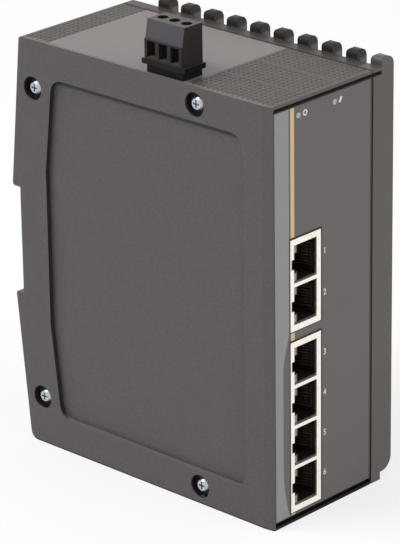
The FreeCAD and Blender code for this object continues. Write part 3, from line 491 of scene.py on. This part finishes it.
def metal(name, colour, roughness, grain, relief, stretch=None):
    shader = Shader(name, roughness, metallic=1.0)
    shader.relief(grain, relief, stretch, METAL_EDGE)
    size, smoother, rougher = METAL_WEAR
    shader.wear(size, roughness - smoother, roughness + rougher)
    cloud = grain * METAL_CLOUD
    return shader.paint(shader.tint(colour, cloud, METAL_TINT, detail=3.0, stretch=stretch))


def circuit_board():
    """Green solder resist over copper that runs in straight tracks."""
    shader = Shader("solder_resist", roughness=0.35)
    tracks = shader.add("ShaderNodeTexBrick")
    tracks.inputs["Scale"].default_value = TRACK_SCALE
    tracks.inputs["Color1"].default_value = srgb(22, 92, 52)
    tracks.inputs["Color2"].default_value = srgb(18, 78, 44)
    tracks.inputs["Mortar"].default_value = srgb(40, 120, 70)
    shader.link(shader.place, tracks.inputs["Vector"])
    shader.relief(size=0.3, height=0.01)
    return shader.paint(tracks.outputs["Color"])


def frosted(name, clear):
    shader = Shader(name, roughness=0.35)
    shader.give("Transmission Weight", clear)
    shader.give("IOR", CLEAR_PLASTIC_IOR)
    shader.relief(size=0.2, height=0.01, edge=0.08)
    return shader.paint(shader.tint(srgb(206, 206, 204), size=1.0, spread=0.04))


def ink(name, colour, roughness=0.5):
    shader = Shader(name, roughness)
    shader.relief(size=0.25, height=0.004)
    return shader.paint(shader.tint(colour, size=0.8, spread=0.03))


# Mouldings give a name, colour, roughness, size of the grain, relief, radius of the
# edges, and where they differ the spread of the colour and of the grain.
COVER = cover_finish()
WALLS = moulded("textured_walls", srgb(92, 88, 87), 0.50, 0.40, 0.020, 0.25)
# Painted highlight: paler than the walls for the light that the rib ends catch.
RIB_END_HIGHLIGHT = moulded("rib_end_edges", srgb(128, 122, 118), 0.45, 0.40, 0.010, 0.05)
FRONT = moulded("front_bezel", srgb(74, 70, 69), 0.50, 0.40, 0.015, 0.2)
LABEL = moulded("front_film", srgb(99, 93, 93), 0.45, 0.25, 0.004, 0.05, 0.02, 0.02)
TOP = top_finish()
BASE = base_finish()
COATING = sink_finish()
PLUG = plug_finish()
BLACK = dull_black()
INSULATOR = moulded("jack_insulator", srgb(30, 28, 26), 0.45, 0.30, 0.006, 0.1)
CHIP = moulded("chip_package", srgb(34, 34, 36), 0.60, 0.20, 0.010, 0.1)
FERRITE = moulded("ferrite_core", srgb(58, 58, 62), 0.70, 0.35, 0.020, 0.2)
PAD = moulded("thermal_gap_pad", srgb(150, 165, 178), 0.80, 0.60, 0.030, 0.2)

# Metals give a name, colour, roughness, size of the grain, relief, and the way in
# which the grain is drawn out.
ZINC = metal("bright_zinc", srgb(190, 194, 200), 0.30, 0.30, 0.004)
TIN = metal("tin_plated_shield", srgb(252, 244, 234), 0.42, 0.35, 0.003)
GOLD = metal("gold_flash", srgb(150, 124, 98), 0.34, 0.20, 0.002)
BRASS = metal("turned_brass", srgb(208, 178, 112), 0.32, 0.15, 0.003, (8.0, 1.0, 1.0))
CAN = metal("capacitor_can", srgb(190, 190, 196), 0.36, 0.20, 0.003, (1.0, 6.0, 6.0))
STEEL = metal("galvanised_steel", srgb(168, 170, 172), 0.36, 0.50, 0.006)

BOARD = circuit_board()
GUIDE = frosted("frosted_light_guide", 0.55)
STATUS_GUIDE = frosted("milky_light_guide", 0.25)
BAND_INK = ink("band_print", srgb(146, 148, 149))
GOLD_INK = ink("line_print", srgb(222, 194, 140), 0.42)
WHITE_INK = ink("number_print", srgb(228, 228, 226))
# Painted shadow, laid on as ink along the joints and openings where shade falls.
PAINTED_SHADOW_INK = ink("painted_shadow_ink", srgb(40, 36, 34))

NODE_MATERIALS = {
    "side_cover": COVER, "top_cover": TOP, "base_cover": BASE, "rear_wall": WALLS,
    "heat_sink": COATING, "front_panel": FRONT, "front_label": LABEL,
    "cover_screws": ZINC, "cover_spacers": BRASS, "board_spacers": BRASS,
    "board_screws": ZINC, "power_board_screws": ZINC,
    "main_board": BOARD, "power_board": BOARD, "port_transformers": CHIP,
    "switch_chip": CHIP, "feed_chip": CHIP, "thermal_pad": PAD,
    "power_transformer": FERRITE, "storage_capacitors": CAN,
    "status_light_guides": STATUS_GUIDE, "port_light_guides": GUIDE,
    "lower_jack_shield": TIN, "upper_jack_shield": TIN,
    "lower_jack_insert": INSULATOR, "upper_jack_insert": INSULATOR,
    "lower_jack_contacts": GOLD, "upper_jack_contacts": GOLD,
    "terminal_header": BLACK, "header_pins": TIN, "board_link": BLACK,
    "plug_body": PLUG, "plug_cages": TIN, "plug_screws": STEEL,
    "rail_latch": STEEL, "latch_spring": STEEL,
}
for node, material in NODE_MATERIALS.items():
    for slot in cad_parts[node].material_slots:
        slot.material = material


# ---------------------------------------------------------------- print on the front, and painted shadows at its joints
def printed(name, outline, material, thick=PRINT):
    """A thin field on the label, from (x, z) points, for print and for painted shadows."""
    shape = bmesh.new()
    ring = [place(x, LABEL_FACE - thick, z) for x, z in outline]
    add_prism(shape, ring, Vector((0, thick * MM, 0)))
    add_piece(name, finish_mesh(name, shape), material)


def smooth(value):
    value = min(max(value, 0.0), 1.0)
    return value * value * (3 - 2 * value)


def band_edge(z):
    """Right edge of the light band at height z."""
    upper = smooth((z - BAND_BEND[0]) / (BAND_BEND[1] - BAND_BEND[0]))
    foot = max(0.0, 1 - (z - BAND_FOOT[0]) / (BAND_FOOT[1] - BAND_FOOT[0])) ** 2
    return BAND_NARROW + (BAND_WIDE - BAND_NARROW) * max(upper, foot)


def light_band():
    heights = []
    for base, top in (BAND_FOOT, BAND_BEND):
        heights += [base + (top - base) * i / BAND_STEPS for i in range(BAND_STEPS + 1)]
    heights.append(BAND_TOP)
    outline = [(band_edge(z), z) for z in heights]
    outline += [(BAND_LEFT, BAND_TOP), (BAND_LEFT, BAND_FOOT[0])]
    printed("light_band", outline, BAND_INK)


def gold_line():
    left = GOLD_MIDDLE - GOLD_WIDTH / 2
    right = GOLD_MIDDLE + GOLD_WIDTH / 2
    for index, (base, top) in enumerate(GOLD_SPANS, start=1):
        printed(f"gold_line_{index}", rectangle(left, right, base, top), GOLD_INK)


def port_numbers():
    centres = []
    for base, ports in PORT_GROUPS:
        centres += [base + JACK_END + (i + 0.5) * PORT_PITCH for i in reversed(range(ports))]
    for number, z in enumerate(centres, start=1):
        text = bpy.data.curves.new(f"port_number_{number}", "FONT")
        text.body = str(number)
        text.size = NUMBER_HEIGHT * MM / NUMERAL_SHARE
        text.extrude = PRINT / 2 * MM
        text.offset = NUMBER_BOLD * MM
        text.materials.append(WHITE_INK)
        piece = bpy.data.objects.new(f"port_number_{number}", text)
        bpy.context.scene.collection.objects.link(piece)
        middle = z + NUMBER_RISE
        piece.location = place(NUMBER_LEFT, LABEL_FACE - PRINT / 2, middle - NUMBER_HEIGHT / 2)
        piece.rotation_euler = (math.pi / 2, 0, 0)
        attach(piece, "housing")


def opening_edges():
    """Painted shadows: dark strips along the label's cut edges above and beside each group of
    jacks.
    """
    for name in ("lower", "upper"):
        lowest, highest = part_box(f"{name}_jack_shield")
        left = (lowest.x - CORNER.x) / MM - OPENING_GAP
        right = (highest.x - CORNER.x) / MM + OPENING_GAP
        base = (lowest.z - CORNER.z) / MM - OPENING_GAP
        top = (highest.z - CORNER.z) / MM + OPENING_GAP
        strips = {
            "top": rectangle(left, right + OPENING_EDGE, top, top + OPENING_EDGE),
            "side": rectangle(right, right + OPENING_EDGE, base, top),
        }
        for side, outline in strips.items():
            printed(f"{name}_opening_{side}_edge", outline, PAINTED_SHADOW_INK, 2 * PRINT)


def joint_shadows():
    """Painted shadows: dark strips on the label beside the heat sink and under the lip of the
    top.
    """
    left, right = LABEL_SPAN
    base, top = LABEL_HEIGHTS
    side, head = JOINT_EDGES
    printed("label_side_shadow", rectangle(right - side, right, base, top), PAINTED_SHADOW_INK)
    printed("label_top_shadow", rectangle(left, right - side, top - head, top), PAINTED_SHADOW_INK)


def status_marks():
    """A ring and a leaning dash beside the status lights."""
    x, radius, stroke = MARK_RING
    shape = bmesh.new()
    for index in range(MARK_RING_STEPS):
        ring = []
        for turn, size in ((index, radius), (index + 1, radius),
                           (index + 1, radius - stroke), (index, radius - stroke)):
            angle = 2 * math.pi * turn / MARK_RING_STEPS
            ring.append(place(x + size * math.cos(angle), LABEL_FACE - PRINT,
                              MARK_HEIGHT + size * math.sin(angle)))
        add_prism(shape, ring, Vector((0, PRINT * MM, 0)))
    bmesh.ops.remove_doubles(shape, verts=shape.verts, dist=WELD)
    add_piece("round_mark", finish_mesh("round_mark", shape), WHITE_INK)

    x, length, width, lean = MARK_DASH
    lean = math.radians(lean)
    along = Vector((math.sin(lean), math.cos(lean))) * length / 2
    across = Vector((along.y, -along.x)).normalized() * width / 2
    corners = (along + across, along - across, -along - across, -along + across)
    printed("slanted_mark", [(x + c.x, MARK_HEIGHT + c.y) for c in corners], WHITE_INK)


light_band()
gold_line()
port_numbers()
opening_edges()
joint_shadows()
status_marks()


# ---------------------------------------------------------------- latch spring
def coil_spring():
    """The latch spring, a steel copy of the part that takes its place."""
    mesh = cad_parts["latch_spring"].data.copy()
    mesh.materials.clear()
    piece = add_piece("coil_spring", mesh, STEEL)
    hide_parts("latch_spring")
    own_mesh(piece)


# ---------------------------------------------------------------- grilles
def slot_starts():
    starts = [GRILLE_FRONT + i * GRILLE_PITCH for i in range(GRILLE_FRONT_SLOTS)]
    return starts + [GRILLE_REAR + i * GRILLE_PITCH for i in range(GRILLE_REAR_SLOTS)]


def grille_bars(name, face, inward, material):
    """Short bars that cross the slots of a grille and turn them into a grid."""
    left, right = GRILLE_SIDES
    count = int((right - left) / GRILLE_PITCH)
    first = (left + right - count * GRILLE_PITCH) / 2
    half = GRILLE_BAR / 2
    top = face + inward * GRILLE_BAR_DROP
    shoulder = top + inward * GRILLE_BAR_EDGE
    foot = top + inward * GRILLE_BAR_DEPTH
    shape = bmesh.new()
    for y in slot_starts():
        for column in range(count + 1):
            x = first + column * GRILLE_PITCH
            section = ((x - half, foot), (x - half, shoulder), (x - half + GRILLE_BAR_EDGE, top),
                       (x + half - GRILLE_BAR_EDGE, top), (x + half, shoulder), (x + half, foot))
            ring = [place(u, y, w) for u, w in section]
            add_prism(shape, ring, Vector((0, GRILLE_SLOT * MM, 0)))
    add_piece(name, finish_mesh(name, shape), material)


def rib_ends():
    """Small pads where the ribs of the top grilles run out at the side cover, paler as painted
    highlight.
    """
    left, right, rise = RIB_END
    section = ((left, HEIGHT), (left + rise, HEIGHT + rise), (right - rise, HEIGHT + rise),
               (right, HEIGHT))
    shape = bmesh.new()
    for y in slot_starts():
        front = y + GRILLE_SLOT
        rear = y + GRILLE_PITCH
        ring = [place(u, front, w) for u, w in section]
        add_prism(shape, ring, Vector((0, (rear - front) * MM, 0)))
    add_piece("grille_rib_ends", finish_mesh("grille_rib_ends", shape), RIB_END_HIGHLIGHT)


def top_joint():
    """Painted shadow: a dark line where the top meets the heat sink."""
    shape = bmesh.new()
    ring = [place(x, y, HEIGHT) for x, y in rectangle(*TOP_JOINT)]
    add_prism(shape, ring, Vector((0, 0, PRINT * MM)))
    add_piece("top_joint_shadow", finish_mesh("top_joint_shadow", shape), PAINTED_SHADOW_INK)


coil_spring()
grille_bars("top_grille_bars", HEIGHT, -1, TOP)
grille_bars("base_grille_bars", 0.0, 1, WALLS)
rib_ends()
top_joint()


# ---------------------------------------------------------------- floor, light and camera
FLOOR_SIZE = 6.0
FLOOR_COLOUR = grey(0.93)
FLOOR_GLOW = 1.13
GLOW_SHARE = 0.62                   # of the floor as it is seen; the rest takes the shadow
WORLD_LEVEL = 0.52                  # of the world's light
BACKDROP_LEVEL = 1.0                # of the world as it is seen
LAMPS = (                           # name, place in metres, size, watts
    ("key_lamp", (-0.8, 0.55, 1.45), 0.7, 11.0),
    ("front_lamp", (0.25, -1.7, 0.9), 1.2, 6.0),
)
CAMERA_PLACE = (-0.75001, -0.70754, 0.47804)
CAMERA_AZIMUTH = -46.655
CAMERA_ELEVATION = 21.826
CAMERA_ROLL = -0.834
SENSOR_WIDTH = 36.0
FOCAL_LENGTH = 225.22


def seen_directly(tree):
    """1 for camera, glossy and transmission rays."""
    path = tree.nodes.new("ShaderNodeLightPath")
    total = path.outputs["Is Camera Ray"]
    for output in ("Is Glossy Ray", "Is Transmission Ray"):
        add = tree.nodes.new("ShaderNodeMath")
        add.operation = "MAXIMUM"
        tree.links.new(total, add.inputs[0])
        tree.links.new(path.outputs[output], add.inputs[1])
        total = add.outputs[0]
    return total


def white_shader(tree, kind, strength):
    """A white background or glow."""
    node = tree.nodes.new(kind)
    node.inputs["Color"].default_value = WHITE
    node.inputs["Strength"].default_value = strength
    return node


def send_mixed(tree, output_kind, factor, first, second):
    """Sends a mix of two shaders to a new output of the tree."""
    mix = tree.nodes.new("ShaderNodeMixShader")
    output = tree.nodes.new(output_kind)
    tree.links.new(factor, mix.inputs["Fac"])
    tree.links.new(first.outputs[0], mix.inputs[1])
    tree.links.new(second.outputs[0], mix.inputs[2])
    tree.links.new(mix.outputs["Shader"], output.inputs["Surface"])


def make_world():
    world = bpy.data.worlds.new("studio")
    bpy.context.scene.world = world
    tree = empty_tree(world)
    light = white_shader(tree, "ShaderNodeBackground", WORLD_LEVEL)
    backdrop = white_shader(tree, "ShaderNodeBackground", BACKDROP_LEVEL)
    send_mixed(tree, "ShaderNodeOutputWorld", seen_directly(tree), light, backdrop)


def make_floor():
    shape = bmesh.new()
    bmesh.ops.create_grid(shape, x_segments=1, y_segments=1, size=FLOOR_SIZE / 2)
    mesh = finish_mesh("studio_floor", shape)
    material = bpy.data.materials.new("pale_floor")
    tree = empty_tree(material)
    paper = tree.nodes.new("ShaderNodeBsdfDiffuse")
    paper.inputs["Color"].default_value = FLOOR_COLOUR
    glow = white_shader(tree, "ShaderNodeEmission", FLOOR_GLOW)
    share = tree.nodes.new("ShaderNodeMath")
    share.operation = "MULTIPLY"
    share.inputs[1].default_value = GLOW_SHARE
    tree.links.new(seen_directly(tree), share.inputs[0])
    send_mixed(tree, "ShaderNodeOutputMaterial", share.outputs[0], paper, glow)
    mesh.materials.append(material)
    floor = bpy.data.objects.new("studio_floor", mesh)
    bpy.context.scene.collection.objects.link(floor)


def make_lamps():
    middle = (cad_box[0] + cad_box[1]) / 2
    for name, spot, size, power in LAMPS:
        data = bpy.data.lights.new(name, "AREA")
        data.size = size
        data.energy = power
        lamp = bpy.data.objects.new(name, data)
        lamp.location = spot
        lamp.rotation_mode = "QUATERNION"
        lamp.rotation_quaternion = (middle - Vector(spot)).to_track_quat("-Z", "Y")
        bpy.context.scene.collection.objects.link(lamp)


def make_camera():
    azimuth = math.radians(CAMERA_AZIMUTH)
    elevation = math.radians(CAMERA_ELEVATION)
    back = Vector((math.sin(azimuth) * math.cos(elevation),
                   -math.cos(azimuth) * math.cos(elevation),
                   math.sin(elevation)))
    data = bpy.data.cameras.new("camera")
    data.sensor_width = SENSOR_WIDTH
    data.lens = FOCAL_LENGTH
    camera = bpy.data.objects.new("camera", data)
    camera.location = CAMERA_PLACE
    camera.rotation_mode = "QUATERNION"
    level = (-back).to_track_quat("-Z", "Y")
    camera.rotation_quaternion = level @ Quaternion((0, 0, 1), math.radians(CAMERA_ROLL))
    bpy.context.scene.collection.objects.link(camera)
    bpy.context.scene.camera = camera


make_world()
make_floor()
make_lamps()
make_camera()
bpy.context.scene.view_settings.view_transform = "Standard"
